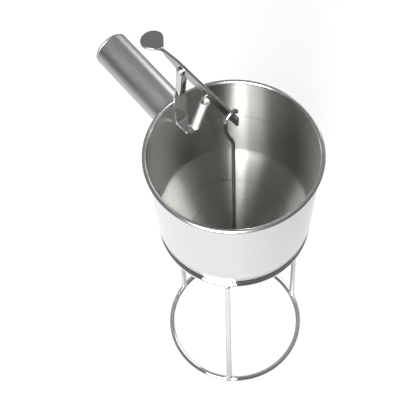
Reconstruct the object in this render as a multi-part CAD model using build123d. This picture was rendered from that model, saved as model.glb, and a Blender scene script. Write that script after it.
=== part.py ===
from build123d import *
import math
import os

# Confectionery funnel with a thumb lever, in a wire stand. Millimetres, +Z up.
# The funnel's axis is Z, the table is at Z = 0 and the handle points along -X.

# Funnel body
rim_height = 315.0
rim_radius = 70.0
bead_radius = 1.85
sheet = 1.0
barrel_height = 88.0
shoulder_radius = 64.5
shoulder_bend = 12.0
cone_half_angle = 28.0

# Outlet, nozzle and valve
ferrule_radius = 11.0
outlet_bore_radius = 6.5
seat_radius = 10.2
collar_below_cone = 3.5
thread_radius = 9.5
thread_length = 10.0
thread_clearance = 0.1
nozzle_wall = 3.0
nozzle_floor = 3.0
nozzle_shoulder = 2.0
spout_length = 15.0
spout_tip_radius = 5.0
spout_tip_bore = 3.5
grip_grooves = 12
grip_groove_radius = 1.2
seal_thickness = 1.5
seal_side_gap = 0.1
seat_gap = 0.3
plug_tip_radius = 5.2
plug_radius = 9.6
plug_rim_height = 3.0
plug_boss_radius = 4.0
plug_boss_height = 9.0
rod_radius = 1.5
rod_socket_depth = 7.0

# Handle
handle_radius = 15.5
handle_wall = 1.2
handle_length = 94.0
handle_below_rim = 31.0
handle_rise = 4.4
cap_thickness = 2.0
cap_edge_radius = 1.5

# Bracket and pivot
strap_thickness = 1.5
strap_width = 12.0
strap_below_rim = 27.0
strap_taper_above_rim = 2.0
strap_above_rim = 16.0
tab_length = 15.0
tab_hole_inset = 3.5
spring_hole_radius = 1.4
ear_foot_above_rim = 4.0
ear_foot_width = 5.0
ear_eye_radius = 3.6
ear_gap = 0.3
pivot_radius = 1.6
pivot_clearance = 0.05
pivot_reach = 59.0
pivot_above_rim = 42.5
rivet_head_radius = 2.9
rivet_head_height = 1.2

# Lever
lever_thickness = 2.0
lever_depth = 10.0
lever_below_pivot = 2.5
lever_past_axis = 5.6
lever_lug_radius = 4.2
twist_start = 4.5
twist_length = 17.5
twist_steps = 4
neck_width = 4.0
pad_length = 17.4
pad_width = 19.0
pad_reach = 22.2
spring_arm = 30.0
spring_hole_up = 3.2

# Hook of the valve rod over the lever
hook_side_gap = 0.6
hook_top_gap = 0.7
hook_near_bend = 8.0
hook_far_bend = 2.3
hook_tail = 1.0
jog_start_above_rim = 10.0
jog_length = 26.0
jog_bend_radius = 8.0

# Spring
spring_wire_radius = 0.55
spring_mean_radius = 3.2
spring_turns = 30
spring_turn_gap = 0.5
spring_hook_radius = 2.6
spring_hook_tail = 2.0
spring_lead = 3.0

# Stand
wire_radius = 2.5
ring_inside_shoulder = 3.0
leg_spread = 3.5
stand_seat_gap = 0.3
rest_flat_depth = 0.2
leg_count = 3
first_leg_angle = -45.5
butt_gap = 1.0
butt_angle_from_leg = 5.0

# Values worked out from those above
wall_inner = rim_radius - 2 * bead_radius
wall_outer = wall_inner + sheet
shoulder_z = rim_height - barrel_height
bead_z = rim_height - bead_radius
wall_taper = (wall_outer - shoulder_radius) / (bead_z - shoulder_z)
cone_angle = math.radians(cone_half_angle)
cone_slope = math.tan(cone_angle)
cone_upright_wall = sheet / math.sin(cone_angle)
bend_centre = shoulder_radius - shoulder_bend
cone_start_radius = bend_centre + shoulder_bend * math.cos(cone_angle)
cone_start_z = shoulder_z - shoulder_bend * math.sin(cone_angle)
cone_end_z = cone_start_z - (cone_start_radius - ferrule_radius) / cone_slope
ferrule_top_z = cone_end_z + cone_upright_wall
collar_z = cone_end_z - collar_below_cone
thread_end_z = collar_z - thread_length
seat_end_z = ferrule_top_z - (seat_radius - outlet_bore_radius)
pivot_x = -pivot_reach
pivot_z = rim_height + pivot_above_rim
lever_bottom_z = pivot_z - lever_below_pivot
lever_top_z = lever_bottom_z + lever_depth
tab_z = rim_height - strap_below_rim
tab_end_x = -(wall_inner - tab_length)
tab_hole_x = tab_end_x - tab_hole_inset
ear_inner_y = lever_thickness / 2 + ear_gap
ear_outer_y = ear_inner_y + strap_thickness
stop_shift = seat_gap * math.sqrt(2)
plug_tip_z = seat_end_z - (outlet_bore_radius - plug_tip_radius) + stop_shift
plug_rim_z = plug_tip_z + plug_radius - plug_tip_radius
plug_top_z = plug_rim_z + plug_rim_height + plug_boss_height
top_ring_radius = shoulder_radius - ring_inside_shoulder
base_ring_radius = top_ring_radius + leg_spread
base_ring_z = wire_radius - rest_flat_depth
ring_to_cone = (wire_radius + stand_seat_gap) / math.cos(cone_angle)
top_ring_z = cone_start_z - (cone_start_radius + ring_to_cone - top_ring_radius) / cone_slope


def revolved(points):
    """Solid of revolution about Z of an outline given as (radius, height) points."""
    outline = Plane.XZ * Polygon(*points, align=None)
    return revolve(outline, Axis.Z)


def wall_inside(height):
    """Inner radius of the tapered wall at a height below the rim."""
    return wall_inner - wall_taper * (bead_z - height)


def save(shape, name):
    export_step(shape, f"parts/{name}.step")


# Funnel body


def make_upper_shell():
    wall = revolved(
        [
            (wall_inside(shoulder_z), shoulder_z),
            (shoulder_radius, shoulder_z),
            (wall_outer, bead_z),
            (wall_inner, bead_z),
        ]
    )
    bead = Pos(0, 0, bead_z) * Torus(wall_inner + bead_radius, bead_radius)
    return wall + bead


def bend_point(radius, angle):
    """Point (radius, height) on the rounded shoulder, at an angle below the shoulder line."""
    return bend_centre + radius * math.cos(angle), shoulder_z - radius * math.sin(angle)


def make_cone_shell():
    inner_bend = shoulder_bend - sheet
    outer = [bend_point(shoulder_bend, cone_angle * share) for share in (0, 0.5, 1)]
    inner = [bend_point(inner_bend, cone_angle * share) for share in (1, 0.5, 0)]
    tip = [(ferrule_radius, cone_end_z), (ferrule_radius, ferrule_top_z)]
    outline = ThreePointArc(*outer) + Polyline(outer[-1], *tip, inner[0])
    outline += ThreePointArc(*inner) + Line(inner[-1], outer[0])
    return revolve(make_face(Plane.XZ * outline), Axis.Z)


def make_outlet_ferrule():
    return revolved(
        [
            (seat_radius, ferrule_top_z),
            (ferrule_radius, ferrule_top_z),
            (ferrule_radius, collar_z),
            (thread_radius, collar_z),
            (thread_radius, thread_end_z),
            (outlet_bore_radius, thread_end_z),
            (outlet_bore_radius, seat_end_z),
        ]
    )


def make_nozzle():
    cap_inner = thread_radius + thread_clearance
    cap_outer = cap_inner + nozzle_wall
    floor_z = thread_end_z - seal_thickness
    skirt_z = floor_z - nozzle_floor
    spout_top_z = skirt_z - nozzle_shoulder
    spout_top_radius = cap_outer - nozzle_shoulder
    tip_z = spout_top_z - spout_length
    body = revolved(
        [
            (cap_inner, collar_z - seat_gap),
            (cap_outer, collar_z - seat_gap),
            (cap_outer, skirt_z),
            (spout_top_radius, spout_top_z),
            (spout_tip_radius, tip_z),
            (spout_tip_bore, tip_z),
            (outlet_bore_radius, floor_z),
            (cap_inner, floor_z),
        ]
    )
    groove_height = collar_z - seat_gap - skirt_z
    groove_z = skirt_z + groove_height / 2
    grooves = PolarLocations(cap_outer, grip_grooves) * Cylinder(grip_groove_radius, groove_height)
    return body - [Pos(0, 0, groove_z) * groove for groove in grooves]


def make_nozzle_seal():
    ring = Cylinder(thread_radius - seal_side_gap, seal_thickness) - Cylinder(
        outlet_bore_radius, seal_thickness
    )
    return Pos(0, 0, thread_end_z - seal_thickness / 2) * ring


def make_stopper():
    plug = revolved(
        [
            (0, plug_tip_z),
            (plug_tip_radius, plug_tip_z),
            (plug_radius, plug_rim_z),
            (plug_radius, plug_rim_z + plug_rim_height),
            (plug_boss_radius, plug_rim_z + plug_rim_height),
            (plug_boss_radius, plug_top_z),
            (0, plug_top_z),
        ]
    )
    socket = Pos(0, 0, plug_top_z - rod_socket_depth / 2) * Cylinder(rod_radius, rod_socket_depth)
    return plug - socket


# Handle


def handle_frame():
    """Plane at the handle's root, with its Z along the handle."""
    rise = math.radians(handle_rise)
    root_z = rim_height - handle_below_rim
    root = (-wall_inside(root_z) - sheet, 0, root_z)
    return Plane(origin=root, x_dir=(0, 1, 0), z_dir=(-math.cos(rise), 0, math.sin(rise)))


def make_handle_tube():
    tube_end = handle_length - cap_thickness
    inset = handle_radius
    middle = Pos(0, 0, (tube_end - inset) / 2)
    tube = middle * Cylinder(handle_radius, tube_end + inset)
    hollow = middle * Cylinder(handle_radius - handle_wall, tube_end + inset)
    barrel = revolved([(0, shoulder_z), (shoulder_radius, shoulder_z), (wall_outer, bead_z), (0, bead_z)])
    return handle_frame() * (tube - hollow) - barrel


def make_handle_end_cap():
    cap = Pos(0, 0, handle_length - cap_thickness / 2) * Cylinder(handle_radius, cap_thickness)
    edge = cap.edges().sort_by(Axis.Z)[-1]
    return handle_frame() * fillet(edge, cap_edge_radius)


# Bracket, pivot and lever


def make_lever_bracket():
    strap_top_z = rim_height + strap_above_rim
    wall_side = [(wall_inside(tab_z), tab_z), (wall_inner, bead_z), (wall_inner, strap_top_z)]
    inside = [(radius - strap_thickness, height) for radius, height in reversed(wall_side)]
    half_width = strap_width / 2
    taper_z = rim_height + strap_taper_above_rim
    front = Polygon(
        (-half_width, tab_z),
        (half_width, tab_z),
        (half_width, taper_z),
        (ear_outer_y, strap_top_z),
        (-ear_outer_y, strap_top_z),
        (-half_width, taper_z),
        align=None,
    )
    strap = revolved(wall_side + inside) & extrude(Plane.YZ * front, -rim_radius)
    tab_middle_z = tab_z + strap_thickness / 2
    tab_top = tab_z + strap_thickness
    disc = revolved([(0, tab_z), (wall_inside(tab_z), tab_z), (wall_inside(tab_top), tab_top), (0, tab_top)])
    tab_box = Box(rim_radius, strap_width, 2 * strap_thickness)
    tab = disc & Pos(tab_end_x - rim_radius / 2, 0, tab_middle_z) * tab_box
    tab -= Pos(tab_hole_x, 0, tab_middle_z) * Cylinder(spring_hole_radius, strap_thickness)
    foot_x = -(wall_inner - strap_thickness / 2)
    foot_z = rim_height + ear_foot_above_rim
    outline = Polygon(
        (foot_x, foot_z),
        (foot_x + ear_foot_width, foot_z + ear_foot_width),
        (pivot_x + ear_eye_radius, pivot_z),
        (pivot_x - ear_eye_radius, pivot_z),
        (foot_x, rim_height + strap_above_rim),
        align=None,
    )
    eye = Pos(pivot_x, pivot_z) * Circle(ear_eye_radius)
    hole = Pos(pivot_x, pivot_z) * Circle(pivot_radius)
    ear = extrude(Plane.XZ * (outline + eye - hole), strap_thickness)
    near_ear = Pos(0, -ear_inner_y, 0) * ear
    far_ear = Pos(0, ear_outer_y, 0) * ear
    return strap + tab + near_ear + far_ear


def make_pivot_pin():
    shank = Cylinder(pivot_radius, 2 * ear_outer_y)
    head = Cylinder(rivet_head_radius, rivet_head_height)
    head_z = ear_outer_y + rivet_head_height / 2
    pin = shank + Pos(0, 0, head_z) * head + Pos(0, 0, -head_z) * head
    return Pos(pivot_x, 0, pivot_z) * Rot(90, 0, 0) * pin


def make_lever():
    strip_start = pivot_x - twist_start
    strip_middle_z = (lever_bottom_z + lever_top_z) / 2
    strip_length = lever_past_axis - strip_start
    strip = Pos(strip_start + strip_length / 2, strip_middle_z) * Rectangle(strip_length, lever_depth)
    lug = Pos(pivot_x, pivot_z) * Circle(lever_lug_radius)
    pivot_hole = Pos(pivot_x, pivot_z) * Circle(pivot_radius + pivot_clearance)
    spring_hole = Pos(pivot_x + spring_arm, lever_bottom_z + spring_hole_up) * Circle(spring_hole_radius)
    outline = strip + lug - pivot_hole - spring_hole
    plate = Pos(0, lever_thickness / 2, 0) * extrude(Plane.XZ * outline, lever_thickness)
    neck_x = strip_start - twist_length
    sections = []
    for step in range(twist_steps + 1):
        share = step / twist_steps
        depth = lever_depth + (neck_width - lever_depth) * share
        place = Pos(strip_start - twist_length * share, 0, strip_middle_z)
        section = Plane.YZ * (Rot(0, 0, 90 * share) * Rectangle(lever_thickness, depth))
        sections.append(place * section)
    twist = loft(sections)
    neck = Pos(neck_x, 0) * Circle(neck_width / 2)
    oval = Pos(neck_x - pad_reach + pad_length / 2, 0) * Ellipse(pad_length / 2, pad_width / 2)
    pad_outline = make_hull((neck + oval).edges())
    pad = Pos(0, 0, strip_middle_z) * extrude(pad_outline, lever_thickness / 2, both=True)
    return plate + twist + pad


# Valve rod, hooked over the lever


def make_valve_rod():
    far_y = lever_thickness / 2 + hook_side_gap + rod_radius
    crest_y = far_y - hook_far_bend
    leg_y = crest_y - hook_near_bend
    crest_z = lever_top_z + hook_top_gap + rod_radius
    leg_end_z = crest_z - hook_near_bend
    tail_z = crest_z - hook_far_bend
    jog_z = rim_height + jog_start_above_rim
    diagonal = math.sqrt(0.5)
    run = FilletPolyline(
        (0, 0, plug_top_z - rod_socket_depth),
        (0, 0, jog_z),
        (0, leg_y, jog_z + jog_length),
        (0, leg_y, leg_end_z),
        radius=jog_bend_radius,
    )
    near_middle = (0, crest_y - hook_near_bend * diagonal, leg_end_z + hook_near_bend * diagonal)
    near_bend = ThreePointArc((0, leg_y, leg_end_z), near_middle, (0, crest_y, crest_z))
    far_middle = (0, crest_y + hook_far_bend * diagonal, tail_z + hook_far_bend * diagonal)
    far_bend = ThreePointArc((0, crest_y, crest_z), far_middle, (0, far_y, tail_z))
    tail = Line((0, far_y, tail_z), (0, far_y, tail_z - hook_tail))
    path = Wire(run.edges() + near_bend.edges() + far_bend.edges() + tail.edges())
    section = Pos(0, 0, plug_top_z - rod_socket_depth) * Circle(rod_radius)
    return sweep(section, path)


# Spring: one wire of arcs, with a hook at each end


def biarc(start, start_way, end, end_way):
    """Two arcs that leave start along start_way and reach end along end_way."""
    across = end - start
    ways = start_way + end_way
    curl = 2 * (1 - start_way.dot(end_way))
    lean = across.dot(ways)
    reach = (math.sqrt(lean**2 + curl * across.dot(across)) - lean) / curl
    first_corner = start + start_way * reach
    second_corner = end - end_way * reach
    middle = (first_corner + second_corner) * 0.5
    middle_way = (second_corner - first_corner).normalized()
    return [
        TangentArc(start, middle, tangent=start_way),
        TangentArc(middle, end, tangent=middle_way),
    ]


def spring_path():
    hook_x = tab_hole_x + spring_hook_radius
    tab_middle_z = tab_z + strap_thickness / 2
    low_leg = Vector(hook_x + spring_hook_radius, 0, tab_middle_z)
    low_under = Vector(hook_x, 0, tab_middle_z - spring_hook_radius)
    low_tip = Vector(hook_x - spring_hook_radius, 0, tab_middle_z)
    low_tail = low_tip + Vector(0, 0, spring_hook_tail)
    top_hole = Vector(pivot_x + spring_arm, 0, lever_bottom_z + spring_hole_up)
    axis_way = (top_hole - low_leg).normalized()
    top_centre = top_hole - axis_way * spring_hook_radius
    near_side = Vector(0, -spring_hook_radius, 0)
    top_leg = top_centre + near_side
    top_tip = top_centre - near_side
    top_tail = top_tip - axis_way * spring_hook_tail
    # the coiled body lies midway between the two hooks
    pitch = 2 * spring_wire_radius + spring_turn_gap
    body_length = spring_turns * pitch
    span = (top_centre - low_leg).length
    body_start = low_leg + axis_way * ((span - body_length) / 2)
    side_y = Vector(0, 1, 0)
    side_x = side_y.cross(axis_way).normalized()
    knots = []
    for half in range(2 * spring_turns + 1):
        angle = math.pi * half
        out = side_x * math.cos(angle) + side_y * math.sin(angle)
        around = side_y * math.cos(angle) - side_x * math.sin(angle)
        spot = body_start + axis_way * (pitch * half / 2) + out * spring_mean_radius
        climb = around * (2 * math.pi * spring_mean_radius) + axis_way * pitch
        knots.append((spot, climb.normalized()))
    down = Vector(0, 0, -1)
    edges = [Line(low_tail, low_tip), ThreePointArc(low_tip, low_under, low_leg)]
    lead_start = low_leg - down * spring_lead
    edges.append(Line(low_leg, lead_start))
    edges += biarc(lead_start, Vector(0, 0, 1), *knots[0])
    for here, there in zip(knots, knots[1:]):
        edges += biarc(*here, *there)
    lead_end = top_leg - axis_way * spring_lead
    edges += biarc(*knots[-1], lead_end, axis_way)
    edges.append(Line(lead_end, top_leg))
    edges.append(ThreePointArc(top_leg, top_hole, top_tip))
    edges.append(Line(top_tip, top_tail))
    return edges


def least_gap(edges, spacing, apart):
    """Least clear distance between points of the wire that lie further apart than a length along it."""
    spots = []
    travelled = 0.0
    for edge in edges:
        steps = max(2, math.ceil(edge.length / spacing))
        for step in range(steps):
            spots.append((travelled + edge.length * step / steps, edge @ (step / steps)))
        travelled += edge.length
    least = math.inf
    for index, (place, spot) in enumerate(spots):
        for other_place, other in spots[index + 1 :]:
            if other_place - place > apart:
                least = min(least, (other - spot).length)
    return least - 2 * spring_wire_radius


def make_lever_spring():
    edges = spring_path()
    half_turn = math.pi * spring_mean_radius
    print("spring least gap mm", round(least_gap(edges, spring_wire_radius, half_turn), 3))
    print("spring tightest arc mm", round(min(e.radius for e in edges if e.geom_type == GeomType.CIRCLE), 3))
    path = Wire(edges)
    section = Plane(origin=edges[0] @ 0, z_dir=edges[0] % 0) * Circle(spring_wire_radius)
    wire = sweep(section, path)
    ideal = math.pi * spring_wire_radius**2 * path.length
    print("spring volume over section times length", round(wire.volume / ideal, 4))
    return wire


# Stand


def make_top_ring():
    ring = Pos(0, 0, top_ring_z) * Torus(top_ring_radius, wire_radius)
    cutter = Pos(top_ring_radius, 0, top_ring_z) * Box(4 * wire_radius, butt_gap, 4 * wire_radius)
    return ring - Rot(0, 0, first_leg_angle + butt_angle_from_leg) * cutter


def make_base_ring():
    ring = Pos(0, 0, base_ring_z) * Torus(base_ring_radius, wire_radius)
    reach = 2 * (base_ring_radius + 2 * wire_radius)
    return ring - Pos(0, 0, -wire_radius) * Box(reach, reach, 2 * wire_radius)


def make_legs(rings):
    foot = Vector(base_ring_radius, 0, base_ring_z)
    head = Vector(top_ring_radius, 0, top_ring_z)
    line = Plane(origin=foot, z_dir=head - foot)
    length = (head - foot).length
    leg = line * Pos(0, 0, length / 2) * Cylinder(wire_radius, length)
    turns = [first_leg_angle + 360 / leg_count * index for index in range(leg_count)]
    return [Rot(0, 0, turn) * leg - rings for turn in turns]


os.makedirs("parts", exist_ok=True)
save(make_upper_shell(), "upper_shell")
save(make_cone_shell(), "cone_shell")
save(make_outlet_ferrule(), "outlet_ferrule")
save(make_nozzle(), "nozzle")
save(make_nozzle_seal(), "nozzle_seal")
save(make_stopper(), "stopper")
save(make_handle_tube(), "handle_tube")
save(make_handle_end_cap(), "handle_end_cap")
save(make_lever_bracket(), "lever_bracket")
save(make_pivot_pin(), "pivot_pin")
save(make_lever(), "lever")
save(make_valve_rod(), "valve_rod")
save(make_lever_spring(), "lever_spring")
top_ring = make_top_ring()
base_ring = make_base_ring()
save(top_ring, "stand_top_ring")
save(base_ring, "stand_base_ring")
for letter, leg in zip("abc", make_legs([top_ring, base_ring])):
    save(leg, f"stand_leg_{letter}")
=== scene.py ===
import bpy
import bmesh
import numpy as np
from mathutils import Matrix
from mathutils.geometry import delaunay_2d_cdt


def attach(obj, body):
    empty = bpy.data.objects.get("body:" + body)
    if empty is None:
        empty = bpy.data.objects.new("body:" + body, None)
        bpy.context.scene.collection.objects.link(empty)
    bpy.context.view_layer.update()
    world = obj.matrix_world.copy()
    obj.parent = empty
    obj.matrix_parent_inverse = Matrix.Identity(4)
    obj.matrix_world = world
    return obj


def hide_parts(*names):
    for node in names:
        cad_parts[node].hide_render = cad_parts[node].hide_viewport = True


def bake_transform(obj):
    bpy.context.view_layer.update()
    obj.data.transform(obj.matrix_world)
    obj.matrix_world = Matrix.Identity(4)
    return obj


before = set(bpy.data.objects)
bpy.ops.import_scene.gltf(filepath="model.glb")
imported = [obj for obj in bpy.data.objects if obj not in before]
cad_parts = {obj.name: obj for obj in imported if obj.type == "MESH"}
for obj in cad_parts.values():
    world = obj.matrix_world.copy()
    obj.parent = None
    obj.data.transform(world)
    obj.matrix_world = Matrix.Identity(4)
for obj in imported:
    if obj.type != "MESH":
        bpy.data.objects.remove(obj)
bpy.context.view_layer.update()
print("frame loaded with", len(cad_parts), "nodes")

mm = 0.001  # shapes are worked out in millimetres


# mesh helpers

def putMesh(name, points, faces, body, nodes, materials, faceMaterial=None, crease=38):
    # points in mm and faces become one closed, outward-facing piece that rides on a body
    samePoint = 1e-7
    mesh = bpy.data.meshes.new(name)
    mesh.from_pydata((np.asarray(points) * mm).tolist(), [], [list(f) for f in faces])
    for material in materials:
        mesh.materials.append(material)
    if faceMaterial is not None:
        mesh.polygons.foreach_set("material_index", np.asarray(faceMaterial, np.int32))
    work = bmesh.new()
    work.from_mesh(mesh)
    bmesh.ops.remove_doubles(work, verts=work.verts, dist=samePoint)
    bmesh.ops.recalc_face_normals(work, faces=work.faces)
    work.to_mesh(mesh)
    work.free()
    mesh.shade_smooth()
    mesh.set_sharp_from_angle(angle=np.radians(crease))
    piece = bpy.data.objects.new(name, mesh)
    bpy.context.scene.collection.objects.link(piece)
    if body:
        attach(piece, body)
    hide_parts(*nodes)
    return piece


def gridFaces(rows, cols, closeRows=False):
    # quads between neighbours of a rows x cols grid; the columns always close, the rows may
    a, b = np.meshgrid(np.arange(rows - (not closeRows)), np.arange(cols), indexing="ij")
    a2, b2 = (a + 1) % rows, (b + 1) % cols
    return np.stack([a * cols + b, a2 * cols + b, a2 * cols + b2, a * cols + b2], -1).reshape(-1, 4)


def joined(*meshes):
    # several (points, faces) sets as one
    points, faces, start = [], [], 0
    for p, f in meshes:
        points.append(np.asarray(p).reshape(-1, 3))
        faces += [[int(i) + start for i in face] for face in f]
        start += len(points[-1])
    return np.concatenate(points), faces


def revolve(profile, turns, closed=True, wobble=None):
    # profile point (r, z) goes to (r cos t, r sin t, z) for t round the circle; wobble(r, z, t) may change r
    profile = np.asarray(profile, float)
    t = np.linspace(0, 2 * np.pi, turns, endpoint=False)
    r = np.repeat(profile[:, :1], turns, 1)
    z = np.repeat(profile[:, 1:], turns, 1)
    if wobble is not None:
        r = wobble(r, z, t[None, :])
    points = np.stack([r * np.cos(t), r * np.sin(t), z], -1)
    return points.reshape(-1, 3), gridFaces(len(profile), turns, closeRows=closed)


def arc(centre, radius, start, end, steps):
    # points on a circle between two angles in degrees
    a = np.radians(np.linspace(start, end, steps))
    return np.stack([centre[0] + radius * np.cos(a), centre[1] + radius * np.sin(a)], -1)


def circleLine(x, y, radius, steps=28):
    # closed circle without its last point, as a hole's outline
    t = np.linspace(0, 2 * np.pi, steps, endpoint=False)
    return np.stack([x + radius * np.cos(t), y + radius * np.sin(t)], -1)


def dense(profile, step, closed=True):
    # the same outline with points no further apart than step
    profile = np.asarray(profile, float)
    ahead = np.roll(profile, -1, 0)
    counts = np.maximum(1, np.ceil(np.linalg.norm(ahead - profile, axis=1) / step).astype(int))
    if not closed:
        counts[-1] = 1
    spans = zip(profile, ahead, counts)
    return np.concatenate([a + (b - a) * (np.arange(n) / n)[:, None] for a, b, n in spans])


def rounded(corners, radii, steps=5):
    # closed outline whose corner c becomes the curve (1-s)^2 p + 2 s (1-s) c + s^2 q,
    # from p to q, which lie on the two sides at the given distance from c
    corners = np.asarray(corners, float)
    back = np.roll(corners, 1, 0) - corners
    ahead = np.roll(corners, -1, 0) - corners
    back /= np.linalg.norm(back, axis=1)[:, None]
    ahead /= np.linalg.norm(ahead, axis=1)[:, None]
    s = np.linspace(0, 1, steps)[:, None]
    out = []
    for c, b, a, r in zip(corners, back, ahead, radii):
        if r <= 0:
            out.append(c[None])
            continue
        p, q = c + b * r, c + a * r
        out.append((1 - s) ** 2 * p + 2 * s * (1 - s) * c + s**2 * q)
    return np.concatenate(out)


def eased(share):
    # 0 to 1 with level ends: 3 s^2 - 2 s^3
    share = np.clip(share, 0, 1)
    return share**2 * (3 - 2 * share)


def tube(path, radius, sides, closed=False, capSteps=5):
    # circle of the given radius carried along a path, its frame turned with the tangent; open ends are domed
    offPath = (0.31, 0.87, 0.38)  # a direction that no path starts along
    path = np.asarray(path, float)
    radius = np.broadcast_to(np.asarray(radius, float), (len(path),)).copy()
    if closed:
        way = np.roll(path, -1, 0) - np.roll(path, 1, 0)
    else:
        way = np.gradient(path, axis=0)
    way /= np.linalg.norm(way, axis=1)[:, None]
    first = np.cross(way[0], offPath)
    side = [first / np.linalg.norm(first)]
    for w in way[1:]:
        v = side[-1] - w * (side[-1] @ w)
        side.append(v / np.linalg.norm(v))
    side = np.array(side)
    if not closed:
        a = np.linspace(np.pi / 2, 0, capSteps, endpoint=False)
        lead = np.sin(a)
        path = np.concatenate([path[0] - way[0] * (lead * radius[0])[:, None], path,
                               path[-1] + way[-1] * (lead[::-1] * radius[-1])[:, None]])
        radius = np.concatenate([np.cos(a) * radius[0], radius, np.cos(a[::-1]) * radius[-1]])
        ends = ((capSteps, capSteps), (0, 0))
        way, side = np.pad(way, ends, mode="edge"), np.pad(side, ends, mode="edge")
    other = np.cross(way, side)
    t = np.linspace(0, 2 * np.pi, sides, endpoint=False)
    ring = np.cos(t)[None, :, None] * side[:, None] + np.sin(t)[None, :, None] * other[:, None]
    points = path[:, None] + radius[:, None, None] * ring
    return points.reshape(-1, 3), gridFaces(len(path), sides, closeRows=closed)


def roundedEdge(loop, sign, thickness, edge, steps=4):
    # rings of points round one outline (sign 1) or hole (sign -1), from the lower face over the rounded edge
    # to the upper face, and the flat outline at which the two faces begin
    loop = np.asarray(loop, float)
    area = np.sum(loop[:, 0] * np.roll(loop[:, 1], -1) - loop[:, 1] * np.roll(loop[:, 0], -1))
    loop = loop if area * sign > 0 else loop[::-1]
    along = np.roll(loop, -1, 0) - np.roll(loop, 1, 0)
    inward = np.stack([-along[:, 1], along[:, 0]], -1) / np.linalg.norm(along, axis=1)[:, None]
    half = thickness / 2 - edge
    a = np.radians(np.linspace(0, 90, steps))
    levels = [(edge * (1 - np.cos(x)), half + edge * np.sin(x)) for x in a]
    levels = [(d, -h) for d, h in levels[::-1]] + levels
    rings = [np.concatenate([loop + inward * d, np.full((len(loop), 1), h)], 1) for d, h in levels]
    return rings, loop + inward * edge


def plate(outline, holes, thickness, edge, spacing):
    # flat sheet cut to an outline with holes, with rounded edges and inner points about spacing apart;
    # gives points (u, v, w) and faces, to be bent afterwards
    clearShare = 0.45  # inner points keep this share of the spacing away from the outlines
    insideOnly, samePoint = 2, 1e-6  # the triangles stay inside the outline and out of the holes
    edges = [roundedEdge(outline, 1, thickness, edge)] + [roundedEdge(h, -1, thickness, edge) for h in holes]
    flats = [flat for _, flat in edges]
    points, faces, start, topLoops, lowLoops = [], [], 0, [], []
    for rings, flat in edges:
        count = len(flat)
        points.append(np.concatenate(rings))
        faces += (gridFaces(len(rings), count) + start).tolist()
        lowLoops.append(np.arange(count) + start)
        topLoops.append(np.arange(count) + start + count * (len(rings) - 1))
        start += count * len(rings)
    low, high = flats[0].min(0) + spacing / 2, flats[0].max(0)
    gridU, gridV = np.meshgrid(np.arange(low[0], high[0], spacing), np.arange(low[1], high[1], spacing))
    inner = np.stack([gridU.ravel(), gridV.ravel()], -1)
    rim = np.concatenate(flats)
    inner = inner[np.min(np.linalg.norm(inner[:, None] - rim[None], axis=2), 1) > spacing * clearShare]
    ends = np.cumsum([len(f) for f in flats]).tolist()
    loops = [list(range(end - len(f), end)) for f, end in zip(flats, ends)]
    flat = np.concatenate([rim, inner])
    _, _, tris, origin, _, _ = delaunay_2d_cdt(flat.tolist(), [], loops, insideOnly, samePoint)
    for faceLoops, h in ((topLoops, thickness / 2), (lowLoops, -thickness / 2)):
        number = np.concatenate([np.concatenate(faceLoops), np.arange(len(inner)) + start])
        where = np.array([number[o[0]] for o in origin])
        faces += [[int(where[i]) for i in tri] for tri in tris]
        points.append(np.concatenate([inner, np.full((len(inner), 1), h)], 1))
        start += len(inner)
    return np.concatenate(points), faces


# finish helpers

def nodeAdder(owner):
    # gives a function that adds a node to the owner's tree, sets it up and links or fills its inputs
    tree = owner.node_tree

    def add(kind, inputs=None, **settings):
        node = tree.nodes.new(kind)
        for key, value in settings.items():
            setattr(node, key, value)
        for key, value in (inputs or {}).items():
            if isinstance(value, bpy.types.NodeSocket):
                tree.links.new(value, node.inputs[key])
            else:
                node.inputs[key].default_value = value
        return node

    return add


def emptyMaterial(name):
    material = bpy.data.materials.new(name)
    material.use_nodes = True
    material.node_tree.nodes.clear()
    return material


def grey(value):
    return (value, value, value)


def mapped(add, value, source, target):
    # value carried from one range to another
    inputs = {"Value": value, 1: source[0], 2: source[1], 3: target[0], 4: target[1]}
    return add("ShaderNodeMapRange", inputs).outputs[0]


def blended(add, share, dark, light):
    # colour between two others
    inputs = {"Factor": share, 6: dark + (1,), 7: light + (1,)}
    return add("ShaderNodeMix", inputs, data_type="RGBA").outputs[2]


def noise(add, place, scale, detail, roughness=0.5):
    inputs = {"Vector": place, "Scale": scale, "Detail": detail, "Roughness": roughness}
    return add("ShaderNodeTexNoise", inputs).outputs[0]


def maths(add, operation, *values):
    return add("ShaderNodeMath", dict(enumerate(values)), operation=operation).outputs[0]


def vectorMaths(add, operation, *values):
    return add("ShaderNodeVectorMath", dict(enumerate(values)), operation=operation).outputs


def scaled(add, vector, factor):
    return add("ShaderNodeVectorMath", {0: vector, "Scale": factor}, operation="SCALE").outputs[0]


def roundPattern(add, spot, look):
    # place in the noise for lines round Z: outward direction times stretch, and (height + radius) times fine
    flatWay = vectorMaths(add, "MULTIPLY", spot, (1, 1, 0))["Vector"]
    radius = vectorMaths(add, "LENGTH", flatWay)["Value"]
    outward = vectorMaths(add, "NORMALIZE", flatWay)["Vector"]
    height = add("ShaderNodeSeparateXYZ", {0: spot}).outputs["Z"]
    level = maths(add, "MULTIPLY", maths(add, "ADD", height, radius), look["fine"])
    lift = add("ShaderNodeCombineXYZ", {"Z": level}).outputs[0]
    return vectorMaths(add, "ADD", scaled(add, outward, look["stretch"]), lift)["Vector"]


def straightPattern(add, spot, look):
    # place in the noise for lines along X, turned first
    scale = (look["stretch"], look["fine"], look["fine"])
    return add("ShaderNodeMapping", {"Vector": spot, "Rotation": look["turn"], "Scale": scale}).outputs[0]


# what all steels share: fine lines, broad lines and clouds, and the noise ranges in use
brush = dict(detail=4.0, roughness=0.65, broadScale=0.17, broadDetail=2.0, broadShare=0.35, cloudDetail=3.0,
             lineRange=(0.3, 0.7), cloudRange=(0.35, 0.75), depth=0.0001)


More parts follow.
